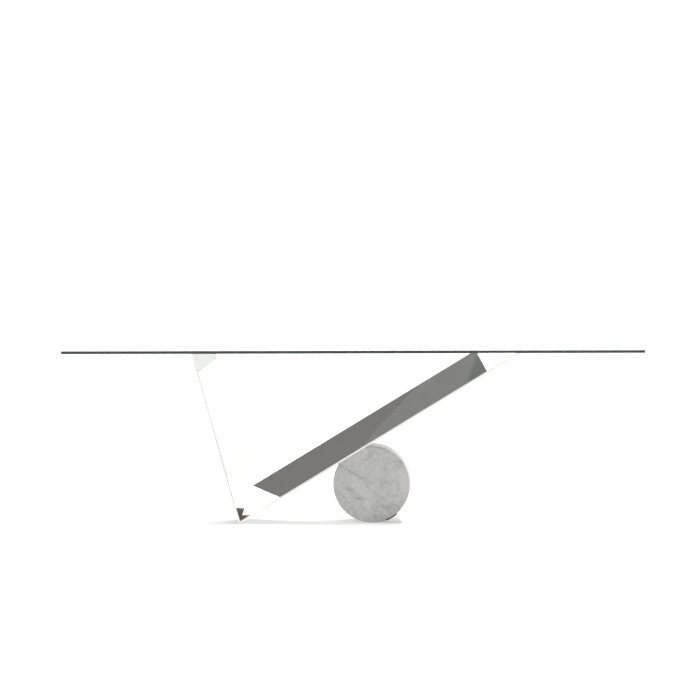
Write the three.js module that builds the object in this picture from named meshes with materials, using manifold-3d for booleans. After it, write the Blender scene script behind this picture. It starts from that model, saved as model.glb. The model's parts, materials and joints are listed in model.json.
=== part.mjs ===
// Console table: a long clear glass top on a lopsided V of mirror-polished steel. The V stands on its
// point, and a round marble wheel under the long leg, held by a small steel chock, carries the other end.
//
// Millimetres, +Z up, +X right, +Y back. The origin is on the floor below the middle of the glass top.

import * as THREE from 'three';
import { mergeVertices } from 'three/addons/utils/BufferGeometryUtils.js';
import Module from 'manifold-3d';

const wasm = await Module();
wasm.setup();

// ---------- driving dimensions ----------

const fitGap = 0.3; // clearance left between pieces that touch, are welded or are bonded

const glassLength = 2500;
const glassDepth = 400;
const glassThickness = 12;
const glassCornerRadius = 3;
const glassArris = 0.6; // polished bevel along every edge of the glass
const tableHeight = 760;
const bondPadThickness = 1;
const bondPadInset = 7;

const vertexX = -499; // where the outer faces of the two legs would meet
const vertexZ = -2.5; // just below the floor, so the point of the V is ground to a narrow flat foot
const shortLegLean = THREE.MathUtils.degToRad(-15.3); // from upright, negative leans to the left
const longLegLean = THREE.MathUtils.degToRad(58.75);

const legWidth = 96; // in the plane of the V, measured across the leg
const legDepth = 170; // front to back
const frontLip = 9; // narrow flat at the front, from which the mirror face slopes back and inward
const sheet = 3;
const capThickness = 8;
const ribThickness = 4;
const shortLegRibs = [300, 520]; // along the leg from the point of the V
const longLegRibs = [330, 780, 1040];

const gussetThickness = 6;
const gussetReach = 240; // along each leg from the point of the V
const gussetY = 40; // front face of the gusset

const wheelRadius = 168;
const wheelThickness = 140;
const wheelEdgeRadius = 8;
const wheelX = 86;
const wheelTurn = THREE.MathUtils.degToRad(-6); // wheel and chock stand turned a little about the vertical
const wheelSegments = 120;
const wheelEdgeSteps = 5;

const gasketThickness = 1;
const gasketLength = 112;
const gasketWidth = 110;
const saddleThickness = 8;
const saddleLength = 150;
const saddleWidth = 110;
const studRadius = 6;
const studSpacing = 70;
const studDepthInWheel = 60;
const studTail = 4; // thread left showing past the nut
const washerRadius = 12;
const washerThickness = 2.5;
const nutAcrossFlats = 19;
const nutHeight = 10;

const chockDepth = 155;
const chockStart = 63; // these three are measured to the right of the wheel's axis
const chockPeak = 111;
const chockEnd = 138;
const chockPadThickness = 1;
const chockPadInset = 4;
const dowelRadius = 4;
const dowelSpacing = 80;
const dowelInChock = 12;
const dowelInWheel = 30;

// ---------- derived sizes ----------

const glassBottom = tableHeight - glassThickness;
const bondPadTop = glassBottom - fitGap;
const bondPadBottom = bondPadTop - bondPadThickness;
const legTop = bondPadBottom - fitGap;
const halfDepth = legDepth / 2;
const legLeanApart = longLegLean - shortLegLean;
const mitreSlope = 1 / Math.tan(legLeanApart / 2);
const mitreGap = fitGap / (2 * Math.sin(legLeanApart / 2));
const faceRun = (legWidth - frontLip) / legDepth; // how far the mirror face moves in for each mm of depth
const faceSheetAcross = sheet * Math.hypot(1, faceRun); // the sloping sheet measured across the leg
const lipCorner = sheet * (Math.hypot(1, faceRun) - faceRun); // inside corner behind the lip
const narrowestHollow = 0.5; // width left where a piece inside the leg runs into its thin front

// ---------- materials ----------

function metal(name, color, roughness) {
  return new THREE.MeshStandardMaterial({ name, color, roughness, metalness: 1 });
}

function dielectric(name, color, roughness) {
  return new THREE.MeshStandardMaterial({ name, color, roughness, metalness: 0 });
}

function glassMaterial() {
  const material = dielectric('clear glass', 0xbfd0c6, 0.02);
  material.transparent = true;
  material.opacity = 0.45;
  return material;
}

const mirrorSteel = (name) => metal(name, 0xb4b3ac, 0.05);
const plainSteel = (name) => metal(name, 0x8e8f90, 0.4);
const zincSteel = (name) => metal(name, 0xa9a9a4, 0.35);
const marble = (name) => dielectric(name, 0xc9c9c8, 0.25);
const clearPad = (name) => dielectric(name, 0xd8dcd9, 0.3);
const blackRubber = (name) => dielectric(name, 0x202020, 0.8);

// ---------- helpers ----------

function namedMesh(name, geometry, material) {
  const mesh = new THREE.Mesh(geometry, material(name));
  mesh.name = name;
  return mesh;
}

function toSolid(geometry) {
  const bare = geometry.clone();
  bare.deleteAttribute('normal');
  bare.deleteAttribute('uv');
  const merged = mergeVertices(bare, 1e-4);
  const vertProperties = new Float32Array(merged.getAttribute('position').array);
  const triVerts = new Uint32Array(merged.getIndex().array);
  return new wasm.Manifold(new wasm.Mesh({ numProp: 3, vertProperties, triVerts }));
}

function toGeometry(solid) {
  const mesh = solid.getMesh();
  const geometry = new THREE.BufferGeometry();
  geometry.setAttribute('position', new THREE.BufferAttribute(mesh.vertProperties, 3));
  geometry.setIndex(new THREE.BufferAttribute(mesh.triVerts, 1));
  geometry.computeVertexNormals();
  return geometry;
}

function subtract(geometry, tools) {
  const result = tools.reduce((solid, tool) => solid.subtract(toSolid(tool)), toSolid(geometry));
  return toGeometry(result);
}

function boxBetween(low, high) {
  const size = high.map((value, i) => value - low[i]);
  const middle = high.map((value, i) => (value + low[i]) / 2);
  return new THREE.BoxGeometry(...size).translate(...middle);
}

// A round bar along local X, from one place on X to another.
function barAlongX(radius, fromX, toX, segments = 24) {
  const bar = new THREE.CylinderGeometry(radius, radius, Math.abs(toX - fromX), segments);
  return bar.rotateZ(Math.PI / 2).translate((fromX + toX) / 2, 0, 0);
}

// ---------- the legs' own frames ----------
// Each leg is a group turned about Y: local Z runs up the leg from the point of the V, local Y is depth,
// and "inward" is the distance from the outer face towards the inside of the V, along side * local X.

function makeLeg(lean, side) {
  const group = new THREE.Group();
  group.position.set(vertexX, 0, vertexZ);
  group.rotation.y = lean;
  group.updateMatrixWorld(true);
  const rise = Math.cos(lean); // height gained for each mm along the leg
  const inwardRise = -side * Math.sin(lean); // height gained for each mm inward
  const alongAtHeight = (inward, z) => (z - vertexZ - inward * inwardRise) / rise;
  return { group, side, alongAtHeight, toLocal: group.matrixWorld.clone().invert() };
}

const shortLeg = makeLeg(shortLegLean, 1);
const longLeg = makeLeg(longLegLean, -1);

const alongAtMitre = (inward) => inward * mitreSlope + mitreGap;

// Inward limit of the mirror face at a depth, on the outside and on the inside of its sheet.
const faceOuter = (y) => frontLip + (y + halfDepth) * faceRun;
const faceInner = (y) => faceOuter(y) - faceSheetAcross;

// A prism along a leg. The outline lists [inward, depth] points, and each end is a plane given as the
// distance along the leg for a distance inward.
function legPrism(leg, outline, startAt, endAt) {
  const toVector = ([inward, depth]) => new THREE.Vector2(leg.side * inward, depth);
  const shape = new THREE.Shape(outline.map(toVector));
  const geometry = new THREE.ExtrudeGeometry(shape, { depth: 1, bevelEnabled: false });
  const position = geometry.getAttribute('position');
  for (let i = 0; i < position.count; i += 1) {
    const inward = leg.side * position.getX(i);
    const endPlane = position.getZ(i) < 0.5 ? startAt : endAt;
    position.setZ(i, endPlane(inward));
  }
  return geometry;
}

// The inside of the leg, kept clear of its walls by the fit gap and a further inset.
function hollowOutline(inset) {
  const front = -halfDepth + sheet + inset;
  const back = halfDepth - sheet - inset;
  const outer = sheet + inset;
  const slopeInset = inset * Math.hypot(1, faceRun);
  const firstDepth = Math.max(front, depthWhereFaceInnerIs(outer + slopeInset + narrowestHollow));
  return [
    [outer, firstDepth],
    [faceInner(firstDepth) - slopeInset, firstDepth],
    [faceInner(back) - slopeInset, back],
    [outer, back],
  ];
}

function depthWhereFaceInnerIs(inward) {
  return (inward + faceSheetAcross - frontLip) / faceRun - halfDepth;
}

// ---------- leg pieces ----------

// One sheet folded into the outer face, the narrow front lip and the sloping mirror face.
function legShell(leg, cutters) {
  const outline = [
    [0, -halfDepth],
    [frontLip, -halfDepth],
    [faceOuter(halfDepth), halfDepth],
    [faceInner(halfDepth), halfDepth],
    [frontLip - lipCorner, -halfDepth + sheet],
    [sheet, -halfDepth + sheet],
    [sheet, halfDepth],
    [0, halfDepth],
  ];
  const reach = legWidth / 2;
  const floor = boxBetween([vertexX - reach, -legDepth, -reach], [vertexX + reach, legDepth, 0]);
  floor.applyMatrix4(leg.toLocal);
  const endAt = (inward) => leg.alongAtHeight(inward, legTop);
  return subtract(legPrism(leg, outline, alongAtMitre, endAt), [floor, ...cutters]);
}

function legBackPlate(leg) {
  const front = halfDepth - sheet;
  const outline = [
    [sheet + fitGap, front],
    [faceInner(front) - fitGap, front],
    [faceInner(halfDepth) - fitGap, halfDepth],
    [sheet + fitGap, halfDepth],
  ];
  return legPrism(leg, outline, alongAtMitre, (inward) => leg.alongAtHeight(inward, legTop));
}

function legCap(leg) {
  const startAt = (inward) => leg.alongAtHeight(inward, legTop - capThickness);
  const endAt = (inward) => leg.alongAtHeight(inward, legTop);
  return legPrism(leg, hollowOutline(fitGap), startAt, endAt);
}

function legRib(leg, along) {
  return legPrism(leg, hollowOutline(fitGap), () => along, () => along + ribThickness);
}

function legBondPad(leg) {
  const startAt = (inward) => leg.alongAtHeight(inward, bondPadBottom);
  const endAt = (inward) => leg.alongAtHeight(inward, bondPadTop);
  return legPrism(leg, hollowOutline(bondPadInset), startAt, endAt);
}

function addLeg(name, leg, ribPlaces, cutters) {
  leg.group.add(namedMesh(`${name}_shell`, legShell(leg, cutters), mirrorSteel));
  leg.group.add(namedMesh(`${name}_back_plate`, legBackPlate(leg), mirrorSteel));
  leg.group.add(namedMesh(`${name}_top_cap`, legCap(leg), plainSteel));
  leg.group.add(namedMesh(`${name}_bond_pad`, legBondPad(leg), clearPad));
  ribPlaces.forEach((along, i) => {
    leg.group.add(namedMesh(`${name}_rib_${i + 1}`, legRib(leg, along), plainSteel));
  });
}

// ---------- the V-shaped gusset welded inside the point of the V ----------

function mitreGusset() {
  const outer = sheet + fitGap;
  const inner = faceInner(gussetY) - fitGap;
  const corner = (leg, inward, along) => {
    const point = new THREE.Vector3(leg.side * inward, 0, along).applyMatrix4(leg.group.matrixWorld);
    return new THREE.Vector2(point.x, point.z);
  };
  const outline = [
    corner(shortLeg, outer, gussetReach),
    corner(shortLeg, inner, gussetReach),
    corner(shortLeg, inner, inner * mitreSlope),
    corner(longLeg, inner, gussetReach),
    corner(longLeg, outer, gussetReach),
    corner(shortLeg, outer, outer * mitreSlope),
  ];
  const extrude = { depth: gussetThickness, bevelEnabled: false };
  const plate = new THREE.ExtrudeGeometry(new THREE.Shape(outline), extrude);
  return plate.rotateX(Math.PI / 2).translate(0, gussetY + gussetThickness, 0);
}

// ---------- glass top ----------

function glassTop() {
  const halfLength = glassLength / 2 - glassArris;
  const halfWidth = glassDepth / 2 - glassArris;
  const r = glassCornerRadius;
  const shape = new THREE.Shape();
  shape.moveTo(-halfLength + r, -halfWidth);
  shape.lineTo(halfLength - r, -halfWidth);
  shape.absarc(halfLength - r, -halfWidth + r, r, -Math.PI / 2, 0);
  shape.lineTo(halfLength, halfWidth - r);
  shape.absarc(halfLength - r, halfWidth - r, r, 0, Math.PI / 2);
  shape.lineTo(-halfLength + r, halfWidth);
  shape.absarc(-halfLength + r, halfWidth - r, r, Math.PI / 2, Math.PI);
  shape.lineTo(-halfLength, -halfWidth + r);
  shape.absarc(-halfLength + r, -halfWidth + r, r, Math.PI, 1.5 * Math.PI);
  const slab = new THREE.ExtrudeGeometry(shape, {
    depth: glassThickness - 2 * glassArris,
    bevelEnabled: true,
    bevelThickness: glassArris,
    bevelSize: glassArris,
    bevelSegments: 1,
    curveSegments: 4,
  });
  return slab.translate(0, 0, glassBottom + glassArris);
}

// ---------- the wheel and what bolts it to the long leg ----------
// The wheel's group has its origin at the middle of the wheel, with the axle along local Y. In the long
// leg's frame the outer face is at X = 0, the wheel side is +X and the hollow is -X.

const wheelGroup = new THREE.Group();
wheelGroup.position.set(wheelX, 0, wheelRadius);
wheelGroup.rotation.z = wheelTurn;
wheelGroup.updateMatrixWorld(true);

const seatAlong = wheelGroup.position.clone().applyMatrix4(longLeg.toLocal).z;
const seatX = 2 * fitGap + gasketThickness; // the flat on the wheel, in the long leg's frame
const studPlaces = [-1, 1].map((way) => seatAlong + (way * studSpacing) / 2);
const saddleFront = -sheet - fitGap;
const saddleBack = saddleFront - saddleThickness;
const washerFront = saddleBack - fitGap;
const washerBack = washerFront - washerThickness;
const nutFront = washerBack - fitGap;
const nutBack = nutFront - nutHeight;
const studEnd = nutBack - studTail;

// The hole runs from behind the nut to a little past the end of the stud.
function studHole(along) {
  const holeEnd = seatX + studDepthInWheel;
  return barAlongX(studRadius + fitGap, studEnd - fitGap, holeEnd).translate(0, 0, along);
}

const studHoles = () => studPlaces.map(studHole);

function wheelGasket() {
  const low = [fitGap, -gasketWidth / 2, seatAlong - gasketLength / 2];
  const high = [fitGap + gasketThickness, gasketWidth / 2, seatAlong + gasketLength / 2];
  return subtract(boxBetween(low, high), studHoles());
}

function saddlePlate() {
  const low = [saddleBack, -saddleWidth / 2, seatAlong - saddleLength / 2];
  const high = [saddleFront, saddleWidth / 2, seatAlong + saddleLength / 2];
  return subtract(boxBetween(low, high), studHoles());
}

function wheelStud(along) {
  return barAlongX(studRadius, studEnd, seatX + studDepthInWheel - fitGap).translate(0, 0, along);
}

function wheelWasher(along) {
  const disc = barAlongX(washerRadius, washerBack, washerFront, 32).translate(0, 0, along);
  return subtract(disc, [studHole(along)]);
}

function wheelNut(along) {
  const cornerRadius = nutAcrossFlats / Math.sqrt(3);
  const blank = barAlongX(cornerRadius, nutBack, nutFront, 6).translate(0, 0, along);
  return subtract(blank, [studHole(along)]);
}

// The bottom of the wheel is the middle of a facet, so the wheel touches the floor at exactly its radius.
function wheelBlank() {
  const toCorner = 1 / Math.cos(Math.PI / wheelSegments);
  const straight = wheelThickness / 2 - wheelEdgeRadius;
  const rim = wheelRadius - wheelEdgeRadius;
  const profile = [new THREE.Vector2(0, -wheelThickness / 2)];
  for (const way of [-1, 1]) {
    for (let i = 0; i <= wheelEdgeSteps; i += 1) {
      const share = i / wheelEdgeSteps;
      const turn = (Math.PI / 2) * (way < 0 ? share : 1 - share);
      const radius = (rim + wheelEdgeRadius * Math.sin(turn)) * toCorner;
      profile.push(new THREE.Vector2(radius, way * (straight + wheelEdgeRadius * Math.cos(turn))));
    }
  }
  profile.push(new THREE.Vector2(0, wheelThickness / 2));
  return new THREE.LatheGeometry(profile, wheelSegments, Math.PI / wheelSegments);
}

// Everything of the wheel on the leg's side of its seat is cut away.
function marbleWheel() {
  const low = [-wheelRadius, -wheelThickness, seatAlong - wheelRadius];
  const high = [seatX, wheelThickness, seatAlong + wheelRadius];
  const legTools = [boxBetween(low, high), ...studHoles()];
  const legToWheel = wheelGroup.matrixWorld.clone().invert().multiply(longLeg.group.matrixWorld);
  return subtract(wheelBlank(), [...legTools.map((tool) => tool.applyMatrix4(legToWheel)), ...dowelHoles()]);
}

// ---------- the chock, in the wheel's frame ----------

const chockRadius = wheelRadius + chockPadThickness + 2 * fitGap;
const turnAt = (x) => Math.asin(x / chockRadius); // angle round the wheel from straight down
const chockStartTurn = turnAt(chockStart);
const chockPeakTurn = turnAt(chockPeak);
const dowelTurn = (chockStartTurn + chockPeakTurn) / 2;

// Points on an arc about the wheel's axis, as X and Z.
function arcPoints(radius, fromTurn, toTurn, steps) {
  const points = [];
  for (let i = 0; i <= steps; i += 1) {
    const turn = fromTurn + ((toTurn - fromTurn) * i) / steps;
    points.push(new THREE.Vector2(radius * Math.sin(turn), -radius * Math.cos(turn)));
  }
  return points;
}

function extrudeAcross(outline, depth) {
  const slab = new THREE.ExtrudeGeometry(new THREE.Shape(outline), { depth, bevelEnabled: false });
  return slab.rotateX(Math.PI / 2).translate(0, depth / 2, 0);
}

// Radial bars into the wheel, from one radius to another.
function radialBars(radius, fromRadius, toRadius) {
  return [-1, 1].map((way) => {
    const bar = barAlongX(radius, fromRadius, toRadius);
    bar.rotateY(Math.PI / 2 - dowelTurn);
    return bar.translate(0, (way * dowelSpacing) / 2, 0);
  });
}

function dowelHoles() {
  const inner = wheelRadius - dowelInWheel;
  const outer = chockRadius + dowelInChock;
  return radialBars(dowelRadius + fitGap, inner, outer);
}

function chockBody() {
  const seat = arcPoints(chockRadius, chockStartTurn, chockPeakTurn, 16);
  const outline = [
    new THREE.Vector2(chockStart, -wheelRadius),
    ...seat,
    new THREE.Vector2(chockEnd, -wheelRadius),
  ];
  return subtract(extrudeAcross(outline, chockDepth), dowelHoles());
}

function chockPad() {
  const inset = chockPadInset / chockRadius;
  const inner = wheelRadius + fitGap;
  const outer = inner + chockPadThickness;
  const outline = [
    ...arcPoints(inner, chockStartTurn + inset, chockPeakTurn - inset, 14),
    ...arcPoints(outer, chockPeakTurn - inset, chockStartTurn + inset, 14),
  ];
  return subtract(extrudeAcross(outline, wheelThickness - 2 * wheelEdgeRadius), dowelHoles());
}

function chockDowels() {
  const inner = wheelRadius - dowelInWheel + fitGap;
  const outer = chockRadius + dowelInChock - fitGap;
  return radialBars(dowelRadius, inner, outer);
}

// ---------- assembly ----------

const table = new THREE.Group();

table.add(namedMesh('glass_top', glassTop(), glassMaterial));

addLeg('short_leg', shortLeg, shortLegRibs, []);
addLeg('long_leg', longLeg, longLegRibs, studHoles());
table.add(shortLeg.group, longLeg.group);
table.add(namedMesh('mitre_gusset', mitreGusset(), plainSteel));

longLeg.group.add(namedMesh('wheel_seat_gasket', wheelGasket(), blackRubber));
longLeg.group.add(namedMesh('wheel_saddle_plate', saddlePlate(), plainSteel));
studPlaces.forEach((along, i) => {
  longLeg.group.add(namedMesh(`wheel_stud_${i + 1}`, wheelStud(along), zincSteel));
  longLeg.group.add(namedMesh(`wheel_washer_${i + 1}`, wheelWasher(along), zincSteel));
  longLeg.group.add(namedMesh(`wheel_nut_${i + 1}`, wheelNut(along), zincSteel));
});

wheelGroup.add(namedMesh('wheel', marbleWheel(), marble));
wheelGroup.add(namedMesh('chock_body', chockBody(), mirrorSteel));
wheelGroup.add(namedMesh('chock_face_pad', chockPad(), blackRubber));
chockDowels().forEach((dowel, i) => {
  wheelGroup.add(namedMesh(`chock_dowel_${i + 1}`, dowel, zincSteel));
});
table.add(wheelGroup);

export default table;
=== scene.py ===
# Looks for the console table: a clear glass top on a V of mirror-polished steel, with a marble wheel and a
# steel chock under the long leg. Metres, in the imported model's frame: +Z up, +X right, front towards -Y.

import json
import math

import bmesh
import bpy
from mathutils import Matrix, Vector


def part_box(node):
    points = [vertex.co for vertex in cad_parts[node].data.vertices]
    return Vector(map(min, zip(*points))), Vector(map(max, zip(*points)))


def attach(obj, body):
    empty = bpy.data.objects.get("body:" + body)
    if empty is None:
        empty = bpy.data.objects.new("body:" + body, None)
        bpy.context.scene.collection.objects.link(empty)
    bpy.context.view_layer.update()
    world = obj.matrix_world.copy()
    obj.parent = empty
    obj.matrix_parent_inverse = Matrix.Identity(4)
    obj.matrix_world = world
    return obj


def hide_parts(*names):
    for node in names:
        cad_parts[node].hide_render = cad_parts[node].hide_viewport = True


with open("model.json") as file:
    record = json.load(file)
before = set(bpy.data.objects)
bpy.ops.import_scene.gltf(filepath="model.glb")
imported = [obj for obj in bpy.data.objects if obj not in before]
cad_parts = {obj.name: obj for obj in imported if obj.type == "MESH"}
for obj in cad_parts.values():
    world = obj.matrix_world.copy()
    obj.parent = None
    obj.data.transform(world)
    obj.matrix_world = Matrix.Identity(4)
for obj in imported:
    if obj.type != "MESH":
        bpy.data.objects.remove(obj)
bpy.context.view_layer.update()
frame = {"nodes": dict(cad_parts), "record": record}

# ---------- driving values ----------

CAMERA_PLACE = (-0.3317, -8.9723, 1.3111)
CAMERA_DOWN = math.radians(3.572)
CAMERA_RIGHT = math.radians(2.037)
CAMERA_LENS = 105.9

EDGE_ROUNDING = 0.0006  # softened sheet-metal edges
GLASS_ROUNDING = 0.0002

SHORT_LEG_LEAN = math.radians(-15.3)  # from upright
LONG_LEG_LEAN = math.radians(58.75)
LONG_LEG_RISE = math.pi / 2 - LONG_LEG_LEAN

WHEEL_X = 0.086
WHEEL_THICKNESS = 0.140
WHEEL_TURN = math.radians(-6)
WHEEL_EDGE = 0.008
WHEEL_STEPS = 256
WHEEL_EDGE_STEPS = 8
SEAT_BELOW_GASKET = 0.0008  # from the middle of the gasket down to the flat on the wheel

VEIN_SLOPE_INTO_STONE = 0.35  # how far a vein shifts sideways for each metre into the wheel

WORLD_STRENGTH = 0.30
GLOW_START = 1.2  # the floor's glow rises from near to far between these distances from the origin
GLOW_END = 5.0
NEAR_GLOW = 0.32
FAR_GLOW = 0.85

SOFTBOX_AIM_X = 0.1  # both softboxes are aimed close to the wheel
TOP_PLACE = (0.6, 1.5, 4.2)
TOP_SIZE = (4.0, 2.5)
TOP_POWER = 190
RIGHT_PLACE = (3.6, -0.3, 1.7)
RIGHT_SIZE = (1.6, 1.6)
RIGHT_POWER = 44

SWEEP_FLAT = 14.0
SWEEP_BEND = 3.0
SWEEP_TOP = 5.5
SWEEP_STEPS = 24
SWEEP_TURN_STEPS = 96

nodes = frame["nodes"]


# ---------- node helpers ----------

class Look:
    """A material with its node tree, and short ways to add and join nodes."""

    def __init__(self, name):
        self.material = bpy.data.materials.new(name)
        self.material.use_nodes = True
        self.tree = self.material.node_tree
        self.shader = self.tree.nodes["Principled BSDF"]
        self.output = self.tree.nodes["Material Output"]
        self.place = self.add("ShaderNodeTexCoord").outputs["Object"]

    def add(self, kind, **settings):
        node = self.tree.nodes.new(kind)
        for key, value in settings.items():
            setattr(node, key, value)
        return node

    def join(self, source, target):
        self.tree.links.new(source, target)

    def set(self, **values):
        for key, value in values.items():
            self.shader.inputs[key.replace("_", " ")].default_value = value

    def moved(self, offset=(0, 0, 0), turn=(0, 0, 0), scale=(1, 1, 1), source=None):
        node = self.add("ShaderNodeMapping")
        node.inputs["Location"].default_value = offset
        node.inputs["Rotation"].default_value = turn
        node.inputs["Scale"].default_value = scale
        self.join(source or self.place, node.inputs["Vector"])
        return node.outputs["Vector"]

    def noise(self, scale, detail=3.0, roughness=0.5, distortion=0.0, source=None):
        node = self.add("ShaderNodeTexNoise")
        node.inputs["Scale"].default_value = scale
        node.inputs["Detail"].default_value = detail
        node.inputs["Roughness"].default_value = roughness
        node.inputs["Distortion"].default_value = distortion
        self.join(source or self.place, node.inputs["Vector"])
        return node.outputs["Fac"]

    def shaken(self, source, scale, amount):
        """The same places, each pushed a little way by a noise."""
        noise = self.add("ShaderNodeTexNoise")
        noise.inputs["Scale"].default_value = scale
        self.join(source, noise.inputs["Vector"])
        centred = self.add("ShaderNodeVectorMath", operation="SUBTRACT")
        self.join(noise.outputs["Color"], centred.inputs[0])
        centred.inputs[1].default_value = (0.5, 0.5, 0.5)
        pushed = self.add("ShaderNodeVectorMath", operation="MULTIPLY_ADD")
        self.join(centred.outputs["Vector"], pushed.inputs[0])
        pushed.inputs[1].default_value = (amount, amount, amount)
        self.join(source, pushed.inputs[2])
        return pushed.outputs["Vector"]

    def math(self, operation, first, second=0.0, third=0.0, clamp=False):
        node = self.add("ShaderNodeMath", operation=operation, use_clamp=clamp)
        for socket, value in zip(node.inputs, (first, second, third)):
            if isinstance(value, (int, float)):
                socket.default_value = value
            else:
                self.join(value, socket)
        return node.outputs[0]

    def fit(self, value, low, high, new_low=0.0, new_high=1.0):
        node = self.add("ShaderNodeMapRange")
        node.inputs["From Min"].default_value = low
        node.inputs["From Max"].default_value = high
        node.inputs["To Min"].default_value = new_low
        node.inputs["To Max"].default_value = new_high
        self.join(value, node.inputs["Value"])
        return node.outputs["Result"]

    def mix(self, share, first, second):
        node = self.add("ShaderNodeMix", data_type="RGBA")
        self.join(share, node.inputs["Factor"])
        for socket, value in ((node.inputs["A"], first), (node.inputs["B"], second)):
            if isinstance(value, tuple):
                socket.default_value = (*value, 1.0)
            else:
                self.join(value, socket)
        return node.outputs["Result"]

    def bump(self, height, distance, strength=1.0, under=None):
        node = self.add("ShaderNodeBump")
        node.inputs["Strength"].default_value = strength
        node.inputs["Distance"].default_value = distance
        self.join(height, node.inputs["Height"])
        if under is not None:
            self.join(under, node.inputs["Normal"])
        return node.outputs["Normal"]

    def use(self, socket_name, source):
        self.join(source, self.shader.inputs[socket_name])


# ---------- materials ----------

def mirror_steel(name, lean):
    """Polished stainless: very smooth, with faint polishing lines along the piece and slight waviness."""
    look = Look(name)
    look.set(Metallic=1.0)
    along = look.moved(turn=(0, -lean, 0), scale=(900, 900, 9))
    lines = look.noise(1.0, detail=2.0, source=along)
    clouds = look.noise(7.0, detail=3.0)
    waves = look.noise(2.6, detail=0.0)
    look.use("Base Color", look.mix(clouds, (0.60, 0.59, 0.565), (0.66, 0.65, 0.625)))
    smudged = look.fit(look.noise(22.0, detail=4.0, roughness=0.6), 0.45, 0.75, 0.004, 0.018)
    look.use("Roughness", look.math("ADD", smudged, look.fit(lines, 0.3, 0.7, 0.0, 0.005)))
    fine = look.bump(lines, 0.00001, 0.3)
    look.use("Normal", look.bump(waves, 0.0004, 0.2, under=fine))
    return look.material


def plain_steel(name):
    """Mill-finish plate, inside the legs."""
    look = Look(name)
    look.set(Metallic=1.0)
    grain = look.noise(1.0, detail=4.0, source=look.moved(scale=(60, 60, 900)))
    blotches = look.noise(18.0, detail=4.0)
    look.use("Base Color", look.mix(blotches, (0.42, 0.42, 0.43), (0.56, 0.56, 0.56)))
    look.use("Roughness", look.fit(grain, 0.3, 0.7, 0.32, 0.5))
    look.use("Normal", look.bump(grain, 0.00004, 0.4))
    return look.material


def bright_zinc(name):
    """Zinc-plated fasteners, faintly mottled."""
    look = Look(name)
    look.set(Metallic=1.0)
    spangle = look.noise(260.0, detail=3.0)
    look.use("Base Color", look.mix(spangle, (0.58, 0.58, 0.55), (0.72, 0.72, 0.70)))
    look.use("Roughness", look.fit(spangle, 0.3, 0.7, 0.25, 0.42))
    look.use("Normal", look.bump(spangle, 0.00005, 0.3))
    return look.material


def black_rubber(name):
    look = Look(name)
    speckle = look.noise(900.0, detail=2.0)
    look.use("Base Color", look.mix(speckle, (0.012, 0.012, 0.012), (0.03, 0.03, 0.029)))
    look.use("Roughness", look.fit(speckle, 0.3, 0.7, 0.6, 0.8))
    look.use("Normal", look.bump(speckle, 0.0002, 0.4))
    return look.material


def clear_bond(name):
    """The adhesive layer: clear, slightly milky, with a few tiny bubbles."""
    look = Look(name)
    look.set(Transmission_Weight=0.85, IOR=1.42)
    bubbles = look.noise(420.0, detail=1.0)
    look.use("Base Color", look.mix(bubbles, (0.80, 0.82, 0.80), (0.92, 0.94, 0.93)))
    look.use("Roughness", look.fit(bubbles, 0.55, 0.75, 0.15, 0.4))
    return look.material


def clear_glass(name):
    """Float glass: clear through the thickness, dark green along the sheet."""
    look = Look(name)
    look.set(Transmission_Weight=1.0, IOR=1.52)
    look.set(Roughness=0.0)
    dust = look.noise(35.0, detail=4.0, roughness=0.65)
    look.use("Base Color", look.mix(dust, (0.987, 0.996, 0.992), (0.993, 1.0, 0.998)))
    body = look.add("ShaderNodeVolumeAbsorption")
    body.inputs["Color"].default_value = (0.30, 0.42, 0.38, 1.0)
    body.inputs["Density"].default_value = 16.0
    look.join(body.outputs["Volume"], look.output.inputs["Volume"])
    return look.material


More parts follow.
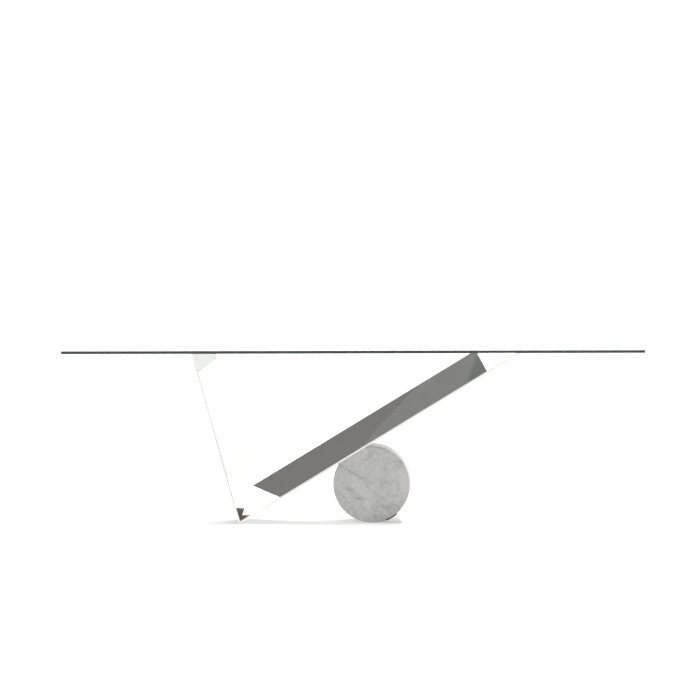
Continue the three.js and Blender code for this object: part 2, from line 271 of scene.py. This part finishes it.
def pale_marble(name, front_middle):
    """Honed pale grey marble. Its places are measured from the middle of the wheel's front face."""
    look = Look(name)
    stone = look.moved(offset=tuple(-value for value in front_middle))
    clouds = look.noise(11.0, detail=6.0, roughness=0.65, distortion=0.5, source=stone)
    fine = look.noise(70.0, detail=5.0, roughness=0.7, source=stone)
    ground = look.mix(look.fit(clouds, 0.34, 0.66), (0.33, 0.33, 0.32), (0.44, 0.44, 0.43))
    speckled = look.mix(look.fit(fine, 0.42, 0.66, 0.0, 0.55), ground, (0.55, 0.55, 0.54))
    bent = look.shaken(look.shaken(stone, 12.0, 0.035), 60.0, 0.008)

    def vein(tilt, offset, half_width):
        axes = look.add("ShaderNodeSeparateXYZ")
        look.join(bent, axes.inputs["Vector"])
        across = look.math("MULTIPLY_ADD", axes.outputs["X"], math.sin(tilt), -offset)
        level = look.math("MULTIPLY_ADD", axes.outputs["Z"], math.cos(tilt), across)
        sheet = look.math("MULTIPLY_ADD", axes.outputs["Y"], VEIN_SLOPE_INTO_STONE, level)
        line = look.fit(look.math("ABSOLUTE", sheet), 0.0, half_width, 1.0, 0.0)
        return look.math("MULTIPLY", line, look.fit(clouds, 0.62, 0.40, 0.2, 1.0), clamp=True)

    def inclusion(place, tilt, size):
        node = look.add("ShaderNodeMapping", vector_type="TEXTURE")
        node.inputs["Location"].default_value = place
        node.inputs["Rotation"].default_value = (0, tilt, 0)
        node.inputs["Scale"].default_value = size
        look.join(bent, node.inputs["Vector"])
        ball = look.add("ShaderNodeTexGradient", gradient_type="SPHERICAL")
        look.join(node.outputs["Vector"], ball.inputs["Vector"])
        return ball.outputs["Fac"]

    marks = vein(math.radians(38.5), -0.018, 0.0042)
    for tilt, offset, half_width in ((36, -0.102, 0.005), (47, 0.075, 0.004), (33, 0.145, 0.004)):
        soft = look.math("MULTIPLY", vein(math.radians(tilt), offset, half_width), 0.4)
        marks = look.math("MAXIMUM", marks, soft)
    for place, tilt, size in (
        ((-0.103, 0.0, -0.015), 32, (0.042, 0.05, 0.016)),
        ((-0.060, 0.0, -0.057), 5, (0.036, 0.05, 0.012)),
        ((-0.134, 0.0, -0.048), 40, (0.020, 0.04, 0.010)),
        ((0.045, 0.0, 0.003), -28, (0.026, 0.04, 0.007)),
        ((0.118, 0.0, 0.094), 25, (0.030, 0.05, 0.012)),
        ((0.062, 0.0, -0.098), 10, (0.040, 0.05, 0.018)),
        ((0.012, 0.0, -0.140), 0, (0.018, 0.04, 0.012)),
        ((0.040, 0.14, 0.050), 35, (0.060, 0.06, 0.014)),
        ((-0.070, 0.14, -0.060), 20, (0.050, 0.06, 0.016)),
    ):
        spot = look.math("MULTIPLY", inclusion(place, math.radians(tilt), size), 0.9)
        marks = look.math("MAXIMUM", marks, spot)
    look.use("Base Color", look.mix(look.math("MULTIPLY", marks, 0.6), speckled, (0.19, 0.195, 0.19)))
    look.use("Roughness", look.fit(clouds, 0.3, 0.7, 0.26, 0.38))
    look.use("Normal", look.bump(fine, 0.0002, 0.15))
    look.set(Subsurface_Weight=0.12, Subsurface_Scale=0.004, Specular_IOR_Level=0.45)
    return look.material


# ---------- mesh helpers ----------

def dress(name, material):
    """Gives a CAD node its material."""
    mesh = nodes[name].data
    mesh.materials.clear()
    mesh.materials.append(material)


def soften(name, width):
    """Rounds a CAD node's hard edges a little, as a modifier."""
    piece = nodes[name]
    weld = piece.modifiers.new("weld", "WELD")
    weld.merge_threshold = 0.000002
    bevel = piece.modifiers.new("rounded edges", "BEVEL")
    bevel.width = width
    bevel.segments = 3
    bevel.limit_method = "ANGLE"
    bevel.angle_limit = math.radians(20)
    bevel.harden_normals = True


def link(name, mesh):
    piece = bpy.data.objects.new(name, mesh)
    bpy.context.scene.collection.objects.link(piece)
    return piece


# ---------- the wheel, finer than its CAD solid ----------

def rim_outline(radius, half_width):
    """Half outline of the wheel from its axis at the front to its axis at the back, as (radius, depth)."""
    straight = half_width - WHEEL_EDGE
    rim = radius - WHEEL_EDGE
    points = [(0.0, -half_width)]
    for way in (-1, 1):
        for i in range(WHEEL_EDGE_STEPS + 1):
            share = i / WHEEL_EDGE_STEPS
            turn = (share if way < 0 else 1 - share) * math.pi / 2
            points.append((rim + WHEEL_EDGE * math.sin(turn), way * (straight + WHEEL_EDGE * math.cos(turn))))
    points.append((0.0, half_width))
    return points


def build_wheel(middle, radius):
    """A turned marble disc with rounded edges, cut flat where the long leg's lower face sits on it."""
    shape = bmesh.new()
    outline = rim_outline(radius, WHEEL_THICKNESS / 2)
    points = [shape.verts.new((distance, depth, 0.0)) for distance, depth in outline]
    edges = [shape.edges.new(pair) for pair in zip(points, points[1:])]
    bmesh.ops.spin(shape, geom=points + edges, axis=(0, 1, 0), cent=(0, 0, 0),
                   angle=2 * math.pi, steps=WHEEL_STEPS, use_duplicate=False)
    bmesh.ops.remove_doubles(shape, verts=shape.verts, dist=0.00001)
    shape.transform(Matrix.Translation(middle) @ Matrix.Rotation(WHEEL_TURN, 4, "Z"))
    seat_normal = Vector((-math.sin(LONG_LEG_RISE), 0, math.cos(LONG_LEG_RISE)))
    seat_point = Vector(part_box("wheel_seat_gasket")[0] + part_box("wheel_seat_gasket")[1]) / 2
    seat_point -= seat_normal * SEAT_BELOW_GASKET
    cut = bmesh.ops.bisect_plane(shape, geom=list(shape.verts) + list(shape.edges) + list(shape.faces),
                                 plane_co=seat_point, plane_no=seat_normal, clear_outer=True)
    rim = [item for item in cut["geom_cut"] if isinstance(item, bmesh.types.BMEdge)]
    bmesh.ops.contextual_create(shape, geom=rim)
    bmesh.ops.recalc_face_normals(shape, faces=shape.faces)
    mesh = bpy.data.meshes.new("marble_wheel")
    shape.to_mesh(mesh)
    shape.free()
    mesh.shade_smooth()
    mesh.set_sharp_from_angle(angle=math.radians(30))
    return link("marble_wheel", mesh)


# ---------- studio ----------

def stage_white():
    look = Look("studio_white")
    grain = look.noise(3.0, detail=2.0)
    look.use("Base Color", look.mix(grain, (0.86, 0.86, 0.86), (0.88, 0.88, 0.88)))
    look.set(Roughness=0.9, Specular_IOR_Level=0.0)
    look.set(Emission_Color=(1.0, 1.0, 1.0, 1.0))
    distance = look.add("ShaderNodeVectorMath", operation="LENGTH")
    look.join(look.place, distance.inputs[0])
    glow = look.fit(distance.outputs["Value"], GLOW_START, GLOW_END, NEAR_GLOW, FAR_GLOW)
    look.use("Emission Strength", glow)
    return look.material


def studio_sweep():
    """A round pale floor whose rim curves up into a backdrop on every side."""
    outline = [(0.0, 0.0), (SWEEP_FLAT, 0.0)]
    for i in range(1, SWEEP_STEPS + 1):
        turn = (math.pi / 2) * i / SWEEP_STEPS
        outline.append((SWEEP_FLAT + SWEEP_BEND * math.sin(turn), SWEEP_BEND * (1 - math.cos(turn))))
    outline.append((SWEEP_FLAT + SWEEP_BEND, SWEEP_TOP))
    shape = bmesh.new()
    points = [shape.verts.new((distance, 0.0, height)) for distance, height in outline]
    edges = [shape.edges.new(pair) for pair in zip(points, points[1:])]
    bmesh.ops.spin(shape, geom=points + edges, axis=(0, 0, 1), cent=(0, 0, 0),
                   angle=2 * math.pi, steps=SWEEP_TURN_STEPS, use_duplicate=False)
    bmesh.ops.remove_doubles(shape, verts=shape.verts, dist=0.0001)
    mesh = bpy.data.meshes.new("studio_sweep")
    shape.to_mesh(mesh)
    shape.free()
    mesh.shade_smooth()
    mesh.materials.append(stage_white())
    link("studio_sweep", mesh)


def area_light(name, place, aim, size, power):
    data = bpy.data.lights.new(name, "AREA")
    data.shape = "RECTANGLE"
    data.size, data.size_y = size
    data.energy = power
    lamp = bpy.data.objects.new(name, data)
    lamp.location = place
    lamp.rotation_mode = "QUATERNION"
    lamp.rotation_quaternion = (Vector(aim) - Vector(place)).to_track_quat("-Z", "Y")
    bpy.context.scene.collection.objects.link(lamp)


def set_world(colour, strength):
    world = bpy.data.worlds.new("studio_air")
    world.use_nodes = True
    background = world.node_tree.nodes["Background"]
    background.inputs["Color"].default_value = (*colour, 1.0)
    background.inputs["Strength"].default_value = strength
    bpy.context.scene.world = world


def set_camera():
    data = bpy.data.cameras.new("camera")
    data.lens = CAMERA_LENS
    data.clip_end = 100
    camera = bpy.data.objects.new("camera", data)
    camera.location = CAMERA_PLACE
    camera.rotation_euler = (math.pi / 2 - CAMERA_DOWN, 0, -CAMERA_RIGHT)
    bpy.context.scene.collection.objects.link(camera)
    bpy.context.scene.camera = camera


# ---------- dressing ----------

MATERIAL_OF_SLOT = {
    "clear_glass": clear_glass("clear_glass"),
    "plain_steel": plain_steel("mill_steel"),
    "clear_bond": clear_bond("clear_bond"),
    "black_rubber": black_rubber("black_rubber"),
    "bright_fasteners": bright_zinc("bright_zinc"),
}
SHORT_STEEL = mirror_steel("mirror_steel_short", SHORT_LEG_LEAN)
LONG_STEEL = mirror_steel("mirror_steel_long", LONG_LEG_LEAN)
CHOCK_STEEL = mirror_steel("mirror_steel_chock", 0.0)


def steel_for(name):
    if name.startswith("short_"):
        return SHORT_STEEL
    if name.startswith("long_"):
        return LONG_STEEL
    return CHOCK_STEEL


for part in frame["record"]["subparts"]:
    name, slot = part["node"], part["material_slot"]
    if slot in MATERIAL_OF_SLOT:
        dress(name, MATERIAL_OF_SLOT[slot])
    elif slot == "mirror_steel":
        dress(name, steel_for(name))

SOFTENED_STEEL = (
    "short_leg_shell", "long_leg_shell", "short_leg_back_plate", "long_leg_back_plate", "chock_body",
)
for name in SOFTENED_STEEL:
    soften(name, EDGE_ROUNDING)
soften("glass_top", GLASS_ROUNDING)
nodes["glass_top"].visible_shadow = False  # clear glass lets the softboxes' light through

wheel_low, wheel_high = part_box("wheel")
wheel_radius = (wheel_high[2] - wheel_low[2]) / 2
wheel_middle = Vector((WHEEL_X, 0.0, wheel_radius))
wheel = build_wheel(wheel_middle, wheel_radius)
front_middle = wheel_middle - Vector((0, WHEEL_THICKNESS / 2, 0))
wheel.data.materials.append(pale_marble("pale_marble", front_middle))
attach(wheel, "root")
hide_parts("wheel")

# ---------- camera and light ----------

set_camera()
set_world((1.0, 1.0, 1.0), WORLD_STRENGTH)
studio_sweep()
area_light("top_softbox", TOP_PLACE, (SOFTBOX_AIM_X, 0.0, 0.3), TOP_SIZE, TOP_POWER)
area_light("right_softbox", RIGHT_PLACE, (SOFTBOX_AIM_X, 0.0, 0.2), RIGHT_SIZE, RIGHT_POWER)
bpy.context.scene.view_settings.view_transform = "Standard"
